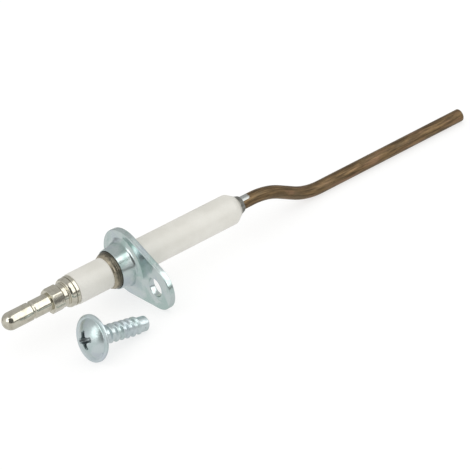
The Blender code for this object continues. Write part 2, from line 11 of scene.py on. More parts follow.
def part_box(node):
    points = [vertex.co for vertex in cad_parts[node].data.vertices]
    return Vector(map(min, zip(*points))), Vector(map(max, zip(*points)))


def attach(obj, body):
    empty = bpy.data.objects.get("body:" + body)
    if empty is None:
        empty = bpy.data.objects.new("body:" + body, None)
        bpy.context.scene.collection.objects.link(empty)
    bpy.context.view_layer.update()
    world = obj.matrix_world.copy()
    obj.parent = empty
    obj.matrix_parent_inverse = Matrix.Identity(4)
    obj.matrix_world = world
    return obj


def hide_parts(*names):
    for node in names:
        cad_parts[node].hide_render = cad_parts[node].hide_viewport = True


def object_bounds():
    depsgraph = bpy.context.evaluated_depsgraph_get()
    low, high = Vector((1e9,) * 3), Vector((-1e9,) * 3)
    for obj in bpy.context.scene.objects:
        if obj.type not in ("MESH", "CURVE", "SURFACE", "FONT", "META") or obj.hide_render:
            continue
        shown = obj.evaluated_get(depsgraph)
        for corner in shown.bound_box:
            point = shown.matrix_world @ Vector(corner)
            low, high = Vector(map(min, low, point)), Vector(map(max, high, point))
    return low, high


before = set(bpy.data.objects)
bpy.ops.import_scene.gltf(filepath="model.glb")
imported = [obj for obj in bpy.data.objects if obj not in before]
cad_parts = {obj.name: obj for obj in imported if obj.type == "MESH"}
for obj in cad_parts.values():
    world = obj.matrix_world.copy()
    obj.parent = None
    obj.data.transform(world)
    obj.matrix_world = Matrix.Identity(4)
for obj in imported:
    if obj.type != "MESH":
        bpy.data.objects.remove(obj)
cad_low, cad_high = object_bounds()

MM = 0.001


# ----------------------------------------------------------------------------
# Sizes and places, from the frame where it holds them
# ----------------------------------------------------------------------------

ceramic_low, ceramic_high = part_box("ceramic_insulator")
flange_low, flange_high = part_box("mounting_flange")
plug_low, plug_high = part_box("terminal_plug")
bush_low, bush_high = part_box("clamp_bush")
washer_low, washer_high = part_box("end_washer")
sleeve_low, sleeve_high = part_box("crimp_sleeve")
collar_low, collar_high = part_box("rod_collar")
rod_low, rod_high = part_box("electrode_rod")
screw_low, screw_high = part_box("fixing_screw")

AXIS_Y = (ceramic_low.y + ceramic_high.y) / 2
AXIS_Z = (ceramic_low.z + ceramic_high.z) / 2
FACE_X = flange_high.x  # the flange's mounting face

ROD_RADIUS = 1.5 * MM
CERAMIC_RADIUS = (ceramic_high.z - ceramic_low.z) / 2
WASHER_RADIUS = (washer_high.z - washer_low.z) / 2
BEAD_RADIUS = (bush_high.z - bush_low.z) / 2
PIN_RADIUS = 2.0 * MM
HEX_FLATS = 5.25 * MM
HEX_LENGTH = 2.75 * MM
HEX_TURN_DEGREES = -16.0
GROOVE_DISTANCE = 4.35 * MM
NECK_RADIUS = 2.6 * MM
BEAD_LENGTH = 1.4 * MM
TAIL_BORE_RADIUS = 1.56 * MM
TAIL_BORE_DEPTH = 5.4 * MM

COUNTERBORE_RADIUS = 2.3 * MM
COUNTERBORE_DEPTH = 3.0 * MM
CERAMIC_BORE = 1.65 * MM
CERAMIC_NOSE = 1.65 * MM  # length of the cone at the spark end

HUB_RADIUS = AXIS_Z  # the hub stands on the table
LOBE_RADIUS = 5.2 * MM
LOBE_SPACING = 10.4 * MM
SCREW_HOLE_RADIUS = 2.15 * MM
PLATE_THICKNESS = 1.35 * MM
SLEEVE_BORE_RADIUS = 4.25 * MM
COLLAR_MOUTH_RADIUS = 4.5 * MM
COLLAR_FOOT_RADIUS = 5.3 * MM
COLLAR_FILLET = 1.3 * MM

BEND_DISTANCE = 8.55 * MM
BEND_RUN = 11.3 * MM
BEND_SIDE = 1.0 * MM
BEND_RADIUS = 16.0 * MM

SCREW_LENGTH = 14.0 * MM
SCREW_CREST_RADIUS = 2.05 * MM
SCREW_ROOT_RADIUS = 1.62 * MM
SCREW_PITCH = 1.5 * MM
SCREW_POINT_LENGTH = 2.3 * MM
SCREW_POINT_RADIUS = 1.65 * MM
HEAD_RADIUS = 5.1 * MM
HEAD_RIM = 0.55 * MM
HEAD_HEIGHT = 2.6 * MM
DOME_RADIUS = 4.15 * MM
WASHER_TOP = -0.62 * MM  # from the underside of the head
SCREW_TURN_DEGREES = 4.0
RECESS_TURN_DEGREES = -21.0

# Studio
CAMERA_AIM = Vector((-12.96, -7.58, 10.47)) * MM
CAMERA_DISTANCE = 595.5 * MM
CAMERA_AZIMUTH = math.radians(-33.78)
CAMERA_ELEVATION = math.radians(28.73)
CAMERA_ROLL = math.radians(9.44)
CAMERA_LENS_MM = 215.8
AMBIENT = 1.0
BEHIND = 0.55
LEFT = 0.80
# heights from -1, straight down, to 1, straight up, with how bright the surroundings look there
SURROUNDINGS = (
    (-1.0, 0.68),
    (-0.45, 0.78),
    (-0.12, 0.80),
    (-0.045, 0.16),
    (0.03, 0.16),
    (0.11, 0.62),
    (0.7, 0.62),
    (1.0, 0.5),
)


# ----------------------------------------------------------------------------
# Mesh building
# ----------------------------------------------------------------------------


def rounded(corners, closed=False, steps=5):
    """An outline from (station, radius) corners. A corner with a third number is rounded to that radius."""
    count = len(corners)
    points = []
    for i, corner in enumerate(corners):
        here = Vector(corner[:2])
        ends = not closed and i in (0, count - 1)
        if len(corner) < 3 or ends:
            points.append(here)
            continue
        to_before = Vector(corners[i - 1][:2]) - here
        to_after = Vector(corners[(i + 1) % count][:2]) - here
        room = 0.49 * min(to_before.length, to_after.length)
        to_before.normalize()
        to_after.normalize()
        half = to_before.angle(to_after) / 2
        tangent = min(corner[2] / math.tan(half), room)
        radius = tangent * math.tan(half)
        centre = here + (to_before + to_after).normalized() * (radius / math.sin(half))
        first = here + to_before * tangent - centre
        last = here + to_after * tangent - centre
        sweep = first.angle(last)
        for k in range(steps + 1):
            share = k / steps
            mixed = (first * math.sin((1 - share) * sweep) + last * math.sin(share * sweep)) / math.sin(sweep)
            points.append(centre + mixed)
    return points


def mesh_from_rings(name, rings, closed=False):
    """A closed body from rings of points, in order along it. A ring of one point is a pole."""
    shape = bmesh.new()
    rows = [[shape.verts.new(point) for point in ring] for ring in rings]
    pairs = list(zip(rows, rows[1:]))
    if closed:
        pairs.append((rows[-1], rows[0]))
    for first, second in pairs:
        around = max(len(first), len(second))
        for i in range(around):
            j = (i + 1) % around
            if len(first) == 1:
                shape.faces.new((first[0], second[j], second[i]))
            elif len(second) == 1:
                shape.faces.new((first[i], first[j], second[0]))
            else:
                shape.faces.new((first[i], first[j], second[j], second[i]))
    bmesh.ops.recalc_face_normals(shape, faces=shape.faces)
    mesh = bpy.data.meshes.new(name)
    shape.to_mesh(mesh)
    shape.free()
    obj = bpy.data.objects.new(name, mesh)
    bpy.context.scene.collection.objects.link(obj)
    return obj


def axis_ring(station, radii):
    """Points around the electrode's axis. Angle 0 is straight down and a quarter turn is towards +Y."""
    turns = np.arange(len(radii)) * 2 * math.pi / len(radii)
    return [
        (station, AXIS_Y + radius * math.sin(turn), AXIS_Z - radius * math.cos(turn))
        for radius, turn in zip(radii, turns)
    ]


def lathe(name, outline, closed=True, segments=160):
    """A body turned about the electrode's axis. An outline that ends on the axis ends in a pole."""
    rings = []
    for station, radius in outline:
        on_axis = radius < 1e-7
        rings.append([(station, AXIS_Y, AXIS_Z)] if on_axis else axis_ring(station, [radius] * segments))
    return mesh_from_rings(name, rings, closed)


def smooth_min(first, second, power=70.0):
    """The smaller of two positive sizes, with the edge between them slightly rounded."""
    return (first**-power + second**-power) ** (-1.0 / power)


def finish_piece(obj, material, body, node, smooth_degrees=32.0):
    """Gives a piece its shading and material, and lets it stand for its CAD node."""
    obj.data.shade_smooth()
    obj.data.set_sharp_from_angle(angle=math.radians(smooth_degrees))
    obj.data.materials.clear()
    obj.data.materials.append(material)
    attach(obj, body)
    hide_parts(node)
    return obj


def bake_modifiers(obj):
    bpy.context.view_layer.update()
    evaluated = obj.evaluated_get(bpy.context.evaluated_depsgraph_get())
    mesh = bpy.data.meshes.new_from_object(evaluated)
    obj.modifiers.clear()
    obj.data = mesh


def cut(obj, cutter):
    modifier = obj.modifiers.new("cut", "BOOLEAN")
    modifier.operation = "DIFFERENCE"
    modifier.solver = "EXACT"
    modifier.object = cutter
    bake_modifiers(obj)
    bpy.data.objects.remove(cutter, do_unlink=True)


# ----------------------------------------------------------------------------
# Materials
# ----------------------------------------------------------------------------


class Shade:
    """Builds one material's nodes around its Principled shader."""

    def __init__(self, name, **constants):
        self.material = bpy.data.materials.new(name)
        self.material.use_nodes = True
        self.tree = self.material.node_tree
        self.shader = self.tree.nodes["Principled BSDF"]
        for socket, value in constants.items():
            self.shader.inputs[socket.replace("_", " ")].default_value = value
        geometry = self.tree.nodes.new("ShaderNodeTexCoord")
        self.place = geometry.outputs["Object"]

    def put(self, socket, value):
        """Sets an input to a number or a colour, or links it to an output."""
        if isinstance(value, bpy.types.NodeSocket):
            self.tree.links.new(value, socket)
        else:
            socket.default_value = value

    def set(self, name, value):
        self.put(self.shader.inputs[name], value)

    def attribute(self, name):
        node = self.tree.nodes.new("ShaderNodeAttribute")
        node.attribute_name = name
        return node.outputs["Vector"]

    def scaled(self, vector, scale, shift=(0.0, 0.0, 0.0)):
        node = self.tree.nodes.new("ShaderNodeMapping")
        node.inputs["Scale"].default_value = scale
        node.inputs["Location"].default_value = shift
        self.put(node.inputs["Vector"], vector)
        return node.outputs["Vector"]

    def noise(self, vector, size, detail=3.0, roughness=0.5, distortion=0.0):
        """Noise whose features are about size metres across."""
        node = self.tree.nodes.new("ShaderNodeTexNoise")
        node.inputs["Scale"].default_value = 1.0 / size
        node.inputs["Detail"].default_value = detail
        node.inputs["Roughness"].default_value = roughness
        node.inputs["Distortion"].default_value = distortion
        self.put(node.inputs["Vector"], vector)
        return node.outputs["Fac"]

    def pits(self, vector, size):
        """Distance to the nearest of scattered points about size metres apart."""
        node = self.tree.nodes.new("ShaderNodeTexVoronoi")
        node.inputs["Scale"].default_value = 1.0 / size
        self.put(node.inputs["Vector"], vector)
        return node.outputs["Distance"]

    def span(self, value, low, high, to_low=0.0, to_high=1.0, smooth=True):
        """Maps low..high to to_low..to_high, and holds the ends."""
        node = self.tree.nodes.new("ShaderNodeMapRange")
        node.interpolation_type = "SMOOTHSTEP" if smooth else "LINEAR"
        for key, number in (("From Min", low), ("From Max", high), ("To Min", to_low), ("To Max", to_high)):
            node.inputs[key].default_value = number
        self.put(node.inputs["Value"], value)
        return node.outputs["Result"]

    def math(self, operation, first, second=0.0):
        node = self.tree.nodes.new("ShaderNodeMath")
        node.operation = operation
        self.put(node.inputs[0], first)
        self.put(node.inputs[1], second)
        return node.outputs["Value"]

    def blend(self, share, first, second):
        """Mixes two colours."""
        node = self.tree.nodes.new("ShaderNodeMix")
        node.data_type = "RGBA"
        self.put(node.inputs["Factor"], share)
        for key, colour in (("A", first), ("B", second)):
            socket = [s for s in node.inputs if s.name == key and s.type == "RGBA"][0]
            self.put(socket, (*colour, 1.0) if isinstance(colour, tuple) else colour)
        return [s for s in node.outputs if s.type == "RGBA"][0]

    def axis_parts(self):
        """The station along the electrode's axis, and the distance from it."""
        away = self.tree.nodes.new("ShaderNodeVectorMath")
        away.operation = "SUBTRACT"
        self.put(away.inputs[0], self.place)
        away.inputs[1].default_value = (0.0, AXIS_Y, AXIS_Z)
        split = self.tree.nodes.new("ShaderNodeSeparateXYZ")
        self.put(split.inputs["Vector"], away.outputs["Vector"])
        y_squared = self.math("MULTIPLY", split.outputs["Y"], split.outputs["Y"])
        z_squared = self.math("MULTIPLY", split.outputs["Z"], split.outputs["Z"])
        distance = self.math("SQRT", self.math("ADD", y_squared, z_squared))
        return split.outputs["X"], distance

    def joined(self, x, y=0.0, z=0.0):
        node = self.tree.nodes.new("ShaderNodeCombineXYZ")
        for key, value in (("X", x), ("Y", y), ("Z", z)):
            self.put(node.inputs[key], value)
        return node.outputs["Vector"]

    def bump(self, height, distance, strength=1.0, under=None):
        """Adds relief: a height of 1 stands for distance metres."""
        node = self.tree.nodes.new("ShaderNodeBump")
        node.inputs["Distance"].default_value = distance
        node.inputs["Strength"].default_value = strength
        self.put(node.inputs["Height"], height)
        if under is not None:
            self.put(node.inputs["Normal"], under)
        self.set("Normal", node.outputs["Normal"])
        return node.outputs["Normal"]


def ceramic_material():
    """Off-white alumina with a satin fired skin: soft clouding, fine grain, a few tiny specks, and painted
    shade at the spark end.
    """
    shade = Shade("alumina", IOR=1.6)
    clouds = shade.noise(shade.place, 6 * MM, 4.0, 0.55)
    grain = shade.noise(shade.place, 0.22 * MM, 3.0, 0.6)
    base = shade.blend(shade.span(clouds, 0.3, 0.7), (0.70, 0.685, 0.63), (0.77, 0.755, 0.705))
    base = shade.blend(shade.span(grain, 0.35, 0.75, 0.0, 0.3), base, (0.64, 0.625, 0.57))
    specks = shade.span(shade.pits(shade.place, 2.4 * MM), 0.012, 0.035, 0.65, 0.0)
    base = shade.blend(specks, base, (0.34, 0.30, 0.24))
    station, _ = shade.axis_parts()
    # Painted shade: worn holds the distance to the spark end with a ragged edge, and the insulator darkens to
    # grey over its last 0.75 mm.
    to_end = shade.math("SUBTRACT", ceramic_high.x, station)
    worn = shade.math("ADD", to_end, shade.span(clouds, 0.3, 0.7, -0.2 * MM, 0.2 * MM))
    painted_end_shade = shade.span(worn, 0.1 * MM, 0.75 * MM, 0.7, 0.0)
    shade.set("Base Color", shade.blend(painted_end_shade, base, (0.36, 0.345, 0.30)))
    shade.set("Roughness", shade.span(clouds, 0.3, 0.7, 0.34, 0.46))
    shallow = shade.bump(shade.noise(shade.place, 1.1 * MM, 2.0), 0.02 * MM, 0.5)
    shade.bump(grain, 0.006 * MM, 0.6, shallow)
    return shade.material


def turning_marks(shade, station, distance, pitch):
    """Fine lines around a turned piece: noise that changes along the outline only."""
    line = shade.joined(station, distance)
    return shade.noise(line, pitch, 2.0, 0.6)


def nickel_material(name, colour, dark):
    """Bright nickel plate over turned steel: fine turning marks, faint stains and small nicks."""
    shade = Shade(name, Metallic=1.0)
    station, distance = shade.axis_parts()
    marks = turning_marks(shade, station, distance, 0.09 * MM)
    stains = shade.noise(shade.place, 1.3 * MM, 4.0, 0.6)
    base = shade.blend(shade.span(stains, 0.42, 0.72, 0.0, 0.75), colour, dark)
    nicks = shade.span(shade.pits(shade.place, 0.75 * MM), 0.04, 0.10, 0.5, 0.0)
    shade.set("Base Color", shade.blend(nicks, base, (0.30, 0.27, 0.22)))
    wear = shade.span(stains, 0.35, 0.75, 0.09, 0.19)
    shade.set("Roughness", shade.math("ADD", wear, shade.span(marks, 0.4, 0.75, 0.0, 0.06)))
    turned = shade.bump(marks, 0.006 * MM, 0.6)
    waves = shade.bump(shade.noise(shade.place, 1.5 * MM, 2.0), 0.05 * MM, 0.5, turned)
    shade.bump(shade.noise(shade.place, 0.5 * MM, 2.0), 0.02 * MM, 0.5, waves)
    return shade.material


def zinc_material(name, colour, green, violet, grain_size, roughness, cavity=""):
    """Bluish passivated zinc: faint green and violet tints, a fine crystalline grain and a few pits.

    A cavity names an attribute whose X is a depth below the surface, where painted shade darkens the metal,
    the more the deeper it lies."""
    shade = Shade(name, Metallic=1.0)
    tint = shade.noise(shade.place, 3.6 * MM, 2.0, 0.5, 0.6)
    moved = shade.scaled(shade.place, (1.0, 1.0, 1.0), (0.31, 0.17, 0.05))
    other = shade.noise(moved, 4.4 * MM, 2.0, 0.5, 0.6)
    grain = shade.noise(shade.place, grain_size, 4.0, 0.65)
    base = shade.blend(shade.span(tint, 0.42, 0.68), colour, green)
    base = shade.blend(shade.span(other, 0.48, 0.70, 0.0, 0.8), base, violet)
    base = shade.blend(shade.span(grain, 0.45, 0.8, 0.0, 0.35), base, (0.36, 0.41, 0.42))
    pits = shade.span(shade.pits(shade.place, 2.1 * MM), 0.03, 0.075, 0.7, 0.0)
    base = shade.blend(pits, base, (0.14, 0.16, 0.15))
    if cavity:
        split = shade.tree.nodes.new("ShaderNodeSeparateXYZ")
        shade.put(split.inputs["Vector"], shade.attribute(cavity))
        # Painted shade in the recess: the metal darkens towards near black the deeper it lies below the
        # surface.
        painted_recess_shade = shade.span(split.outputs["X"], 0.05 * MM, 0.6 * MM, 0.0, 0.62)
        base = shade.blend(painted_recess_shade, base, (0.045, 0.052, 0.055))
    shade.set("Base Color", base)
    shade.set("Roughness", shade.span(grain, 0.3, 0.75, roughness - 0.06, roughness + 0.1))
    waves = shade.bump(shade.noise(shade.place, 1.4 * MM, 2.0), 0.03 * MM, 0.5)
    shade.bump(shade.math("SUBTRACT", grain, pits), 0.012 * MM, 0.6, waves)
    return shade.material


def sleeve_material():
    """Steel burnt brown in the crimping, with tool rings. It goes from straw at the inner edge to dark
    outside: partly heat tint, partly a painted highlight on the inner edge and painted shade further out.
    """
    shade = Shade("scaled_steel", Metallic=0.85)
    station, distance = shade.axis_parts()
    rings = turning_marks(shade, station, distance, 0.16 * MM)
    patches = shade.noise(shade.place, 1.2 * MM, 4.0, 0.65)
    # Painted highlight and shade mixed with heat tint: light straw at the inner edge, dark towards the
    # outside.
    outward = shade.span(distance, CERAMIC_RADIUS, SLEEVE_BORE_RADIUS)
    edge = shade.math("ADD", outward, shade.span(patches, 0.3, 0.7, -0.25, 0.25))
    base = shade.blend(shade.span(edge, 0.25, 0.95), (0.46, 0.41, 0.31), (0.105, 0.10, 0.078))
    base = shade.blend(shade.span(rings, 0.52, 0.72, 0.0, 0.55), base, (0.42, 0.36, 0.26))
    shade.set("Base Color", base)
    shade.set("Roughness", shade.span(patches, 0.3, 0.7, 0.18, 0.36))
    grooved = shade.bump(rings, 0.05 * MM, 0.8)
    shade.bump(shade.noise(shade.place, 0.12 * MM, 3.0), 0.01 * MM, 0.5, grooved)
    return shade.material


def rod_material():
    """Drawn alloy under a brown oxide: long streaks, dark specks and a bare patch near the collar."""
    shade = Shade("oxidised_alloy")
    along = shade.attribute("along_rod")
    streaks = shade.noise(shade.scaled(along, (0.08, 1.0, 1.0)), 0.34 * MM, 5.0, 0.6)
    bands = shade.noise(shade.scaled(along, (0.25, 1.0, 1.0), (0.2, 0.4, 0.1)), 1.5 * MM, 3.0, 0.5)
    clouds = shade.noise(shade.scaled(along, (0.35, 1.0, 1.0), (0.7, 0.1, 0.3)), 2.6 * MM, 3.0, 0.55)
    base = shade.blend(shade.span(streaks, 0.33, 0.68), (0.078, 0.048, 0.018), (0.225, 0.142, 0.062))
    base = shade.blend(shade.span(bands, 0.48, 0.74, 0.0, 0.6), base, (0.31, 0.175, 0.105))
    base = shade.blend(shade.span(clouds, 0.50, 0.75, 0.0, 0.55), base, (0.105, 0.085, 0.048))
    specks = shade.span(shade.pits(shade.scaled(along, (0.5, 1.0, 1.0)), 0.9 * MM), 0.05, 0.12, 0.6, 0.0)
    base = shade.blend(specks, base, (0.035, 0.026, 0.016))
    split = shade.tree.nodes.new("ShaderNodeSeparateXYZ")
    shade.put(split.inputs["Vector"], along)
    past_collar = shade.math("SUBTRACT", split.outputs["X"], collar_high.x)
    near = shade.span(past_collar, 1.0 * MM, 3.6 * MM, 1.0, 0.0)
    on_top = shade.span(split.outputs["Z"], 1.0 * MM, 1.35 * MM)
    patch = shade.math("MULTIPLY", near, on_top)
    ragged = shade.math("ADD", patch, shade.span(streaks, 0.3, 0.7, -0.35, 0.25))
    bare = shade.span(ragged, 0.45, 0.6)
    shade.set("Base Color", shade.blend(bare, base, (0.50, 0.52, 0.50)))
    shade.set("Metallic", shade.span(bare, 0.0, 1.0, 0.55, 1.0))
    dull = shade.span(streaks, 0.3, 0.7, 0.50, 0.36)
    shade.set("Roughness", shade.math("SUBTRACT", dull, shade.math("MULTIPLY", bare, 0.1)))
    drawn = shade.bump(streaks, 0.03 * MM, 0.55)
    shade.bump(shade.noise(along, 0.16 * MM, 3.0, 0.6), 0.012 * MM, 0.5, drawn)
    return shade.material


def steel_material():
    """Dull grey steel with turning marks."""
    shade = Shade("bare_steel", Metallic=1.0)
    station, distance = shade.axis_parts()
    marks = turning_marks(shade, station, distance, 0.07 * MM)
    patches = shade.noise(shade.place, 0.7 * MM, 4.0, 0.6)
    share = shade.span(patches, 0.35, 0.7)
    shade.set("Base Color", shade.blend(share, (0.30, 0.30, 0.275), (0.15, 0.15, 0.13)))
    shade.set("Roughness", shade.span(patches, 0.3, 0.7, 0.28, 0.44))
    shade.bump(marks, 0.012 * MM, 0.7)
    return shade.material


def grainy_material(name, light, dark, size, roughness):
    """A matt grainy mass, for the sealed pieces: refractory cement and graphite packing."""
    shade = Shade(name)
    grain = shade.noise(shade.place, size, 4.0, 0.7)
    shade.set("Base Color", shade.blend(shade.span(grain, 0.3, 0.7), dark, light))
    shade.set("Roughness", shade.span(grain, 0.3, 0.7, roughness, roughness - 0.1))
    shade.bump(grain, 0.05 * MM, 0.7)
    return shade.material


# ----------------------------------------------------------------------------
# Pieces on the electrode's axis
# ----------------------------------------------------------------------------


def make_ceramic():
    start, end = ceramic_low.x, ceramic_high.x
    outline = rounded(
        [
            (start, COUNTERBORE_RADIUS, 0.08 * MM),
            (start, CERAMIC_RADIUS, 0.28 * MM),
            (end - CERAMIC_NOSE, CERAMIC_RADIUS, 1.4 * MM),
            (end, COUNTERBORE_RADIUS + 0.12 * MM, 0.18 * MM),
            (end, COUNTERBORE_RADIUS, 0.04 * MM),
            (end - COUNTERBORE_DEPTH, COUNTERBORE_RADIUS),
            (end - COUNTERBORE_DEPTH, CERAMIC_BORE),
            (start + COUNTERBORE_DEPTH, CERAMIC_BORE),
            (start + COUNTERBORE_DEPTH, COUNTERBORE_RADIUS),
        ],
        closed=True,
        steps=8,
    )
    return lathe("ceramic_body", outline, segments=192)


def make_end_washer():
    start, end = washer_low.x, washer_high.x
    outline = rounded(
        [
            (start, TAIL_BORE_RADIUS, 0.03 * MM),
            (start, WASHER_RADIUS, 0.09 * MM),
            (end, WASHER_RADIUS, 0.10 * MM),
            (end, TAIL_BORE_RADIUS, 0.03 * MM),
        ],
        closed=True,
    )
    return lathe("end_washer_fine", outline)


def make_clamp_bush():
    """Neck, a waist groove and a rounded bead."""
    start, end = bush_low.x, bush_high.x
    bead = end - BEAD_LENGTH
    outline = rounded(
        [
            (start, TAIL_BORE_RADIUS, 0.05 * MM),
            (start, NECK_RADIUS, 0.12 * MM),
            (bead - 0.35 * MM, NECK_RADIUS, 0.25 * MM),
            (bead - 0.12 * MM, NECK_RADIUS - 0.12 * MM, 0.10 * MM),
            (bead, NECK_RADIUS + 0.05 * MM, 0.06 * MM),
            (bead, BEAD_RADIUS - 0.2 * MM, 0.30 * MM),
            (bead + 0.5 * MM, BEAD_RADIUS, 0.6 * MM),
            (end, BEAD_RADIUS, 0.16 * MM),
            (end, TAIL_BORE_RADIUS, 0.05 * MM),
        ],
        closed=True,
        steps=6,
    )
    return lathe("clamp_bush_fine", outline)


def make_rod_collar():
    start, end = collar_low.x, collar_high.x
    face = ceramic_high.x + 0.05 * MM
    outline = rounded(
        [
            (start, 1.55 * MM),
            (start, 2.25 * MM, 0.05 * MM),
            (face, 2.25 * MM, 0.05 * MM),
            (face + 0.25 * MM, 2.2 * MM, 0.2 * MM),
            (end - 0.12 * MM, 1.90 * MM, 0.10 * MM),
            (end, 1.86 * MM, 0.05 * MM),
            (end, 1.55 * MM, 0.03 * MM),
        ],
        closed=True,
    )
    return lathe("rod_collar_fine", outline, segments=128)


def make_crimp_sleeve():
    """The lip that shows is rolled down onto the insulator, with two shallow rings of the closing tool."""
    start, end = sleeve_low.x, sleeve_high.x
    mouth = flange_low.x
    body = SLEEVE_BORE_RADIUS - 0.05 * MM
    inner = CERAMIC_RADIUS + 0.04 * MM
    outline = rounded(
        [
            (start, inner, 0.03 * MM),
            (start, inner + 0.10 * MM, 0.05 * MM),
            (start + 0.35 * MM, inner + 0.28 * MM, 0.2 * MM),
            (start + 0.50 * MM, inner + 0.29 * MM, 0.08 * MM),
            (start + 0.62 * MM, inner + 0.44 * MM, 0.1 * MM),
            (start + 0.98 * MM, inner + 0.60 * MM, 0.2 * MM),
            (start + 1.10 * MM, inner + 0.60 * MM, 0.06 * MM),
            (start + 1.20 * MM, body + 0.02 * MM, 0.08 * MM),
            (mouth - 0.06 * MM, body + 0.06 * MM, 0.12 * MM),
            (mouth + 0.05 * MM, body, 0.05 * MM),
            (end, body, 0.03 * MM),
            (end, body - 0.3 * MM, 0.03 * MM),
            (mouth + 0.3 * MM, body - 0.3 * MM, 0.1 * MM),
            (mouth, inner, 0.1 * MM),
        ],
        closed=True,
        steps=4,
    )
    return lathe("crimp_sleeve_fine", outline, segments=192)


def hexagon_radii(count):
    """The hexagon's radius all round, with worn corners and slightly convex flats."""
    sharpness = 90.0
    crown = 0.10 * MM
    radii = []
    for i in range(count):
        turn = 2 * math.pi * i / count
        total = 0.0
        for side in range(6):
            flat = math.radians(HEX_TURN_DEGREES + 30 + 60 * side)
            total += max(math.cos(turn - flat), 0.0) ** sharpness
        off = (turn - math.radians(HEX_TURN_DEGREES)) % math.radians(60.0) - math.radians(30.0)
        fall = crown * (math.tan(off) / math.tan(math.radians(30.0))) ** 2
        radii.append(HEX_FLATS / 2 * total ** (-1.0 / sharpness) - fall)
    return np.array(radii)


def make_terminal_plug():
    """Domed pin with a snap groove, and a hexagon with turned chamfers, in one piece."""
    count = 240
    nose = plug_low.x
    hex_end = plug_high.x
    hex_start = hex_end - HEX_LENGTH
    groove = hex_start - GROOVE_DISTANCE
    pin = rounded(
        [
            (nose, 0.0),
            (nose, PIN_RADIUS, 1.0),
            (groove - 0.5 * MM, PIN_RADIUS, 0.3 * MM),
            (groove - 0.16 * MM, PIN_RADIUS - 0.2 * MM, 0.12 * MM),
            (groove + 0.16 * MM, PIN_RADIUS - 0.2 * MM, 0.10 * MM),
            (groove + 0.30 * MM, PIN_RADIUS - 0.02 * MM, 0.08 * MM),
            (hex_start - 0.25 * MM, PIN_RADIUS - 0.02 * MM, 0.3 * MM),
            (hex_start - 0.12 * MM, PIN_RADIUS - 0.12 * MM, 0.1 * MM),
            (hex_start, PIN_RADIUS - 0.10 * MM),
        ],
        steps=6,
    )
    dome = []
    for i in range(1, 18):
        turn = math.radians(5 * i)
        dome.append(Vector((nose + PIN_RADIUS * (1 - math.cos(turn)), PIN_RADIUS * math.sin(turn))))
    pin = [Vector((nose, 0.0)), *dome] + [p for p in pin if p.x > nose + PIN_RADIUS - 1e-6]

    face = HEX_FLATS / 2 - 0.1 * MM
    slope = math.tan(math.radians(25.0))
    corner = HEX_FLATS / math.sqrt(3.0)
    reach = (corner - face) * slope * 1.15
    chamfer = [(face + i / 12 * reach / slope, i / 12 * reach) for i in range(13)]
    front = [(hex_start, face - 0.3 * MM), (hex_start, face - 0.05 * MM)]
    front += [(hex_start + depth, limit) for limit, depth in chamfer]
    flats = [(hex_start + HEX_LENGTH * share, 10 * corner) for share in (0.2, 0.35, 0.5, 0.65, 0.8)]
    back = [(hex_end - (station - hex_start), limit) for station, limit in reversed(front)]

    shape = hexagon_radii(count)
    rings = [[(pin[0].x, AXIS_Y, AXIS_Z)]]
    rings += [axis_ring(p.x, [p.y] * count) for p in pin[1:]]
    for station, limit in front + flats + back:
        rings.append(axis_ring(station, smooth_min(np.full(count, limit), shape)))
    bore_end = hex_end - TAIL_BORE_DEPTH
    bore = [(hex_end, TAIL_BORE_RADIUS + 0.1 * MM), (hex_end - 0.1 * MM, TAIL_BORE_RADIUS)]
    bore.append((bore_end, TAIL_BORE_RADIUS))
    rings += [axis_ring(station, [radius] * count) for station, radius in bore]
    rings.append([(bore_end - TAIL_BORE_RADIUS / 2, AXIS_Y, AXIS_Z)])
    return mesh_from_rings("terminal_plug_fine", rings)


# ----------------------------------------------------------------------------
# Mounting flange
# ----------------------------------------------------------------------------


def teardrop_radius(turn, inset):
    """From the hub's middle to the plate's outline, moved in by inset. Turn 0 is towards the lobe."""
    hub = HUB_RADIUS - inset
    lobe = LOBE_RADIUS - inset
    turn = abs((turn + math.pi) % (2 * math.pi) - math.pi)
    tangent = math.acos((hub - lobe) / LOBE_SPACING)
    if turn >= tangent:
        return hub
    if turn > math.atan2(lobe * math.sin(tangent), LOBE_SPACING + lobe * math.cos(tangent)):
        return hub / math.cos(turn - tangent)
    return LOBE_SPACING * math.cos(turn) + math.sqrt(lobe**2 - (LOBE_SPACING * math.sin(turn)) ** 2)


def lobe_direction():
    """The angle, from straight down towards +Y, of the line from the hub's middle to the screw hole."""
    return -math.acos((HUB_RADIUS - LOBE_RADIUS) / LOBE_SPACING)


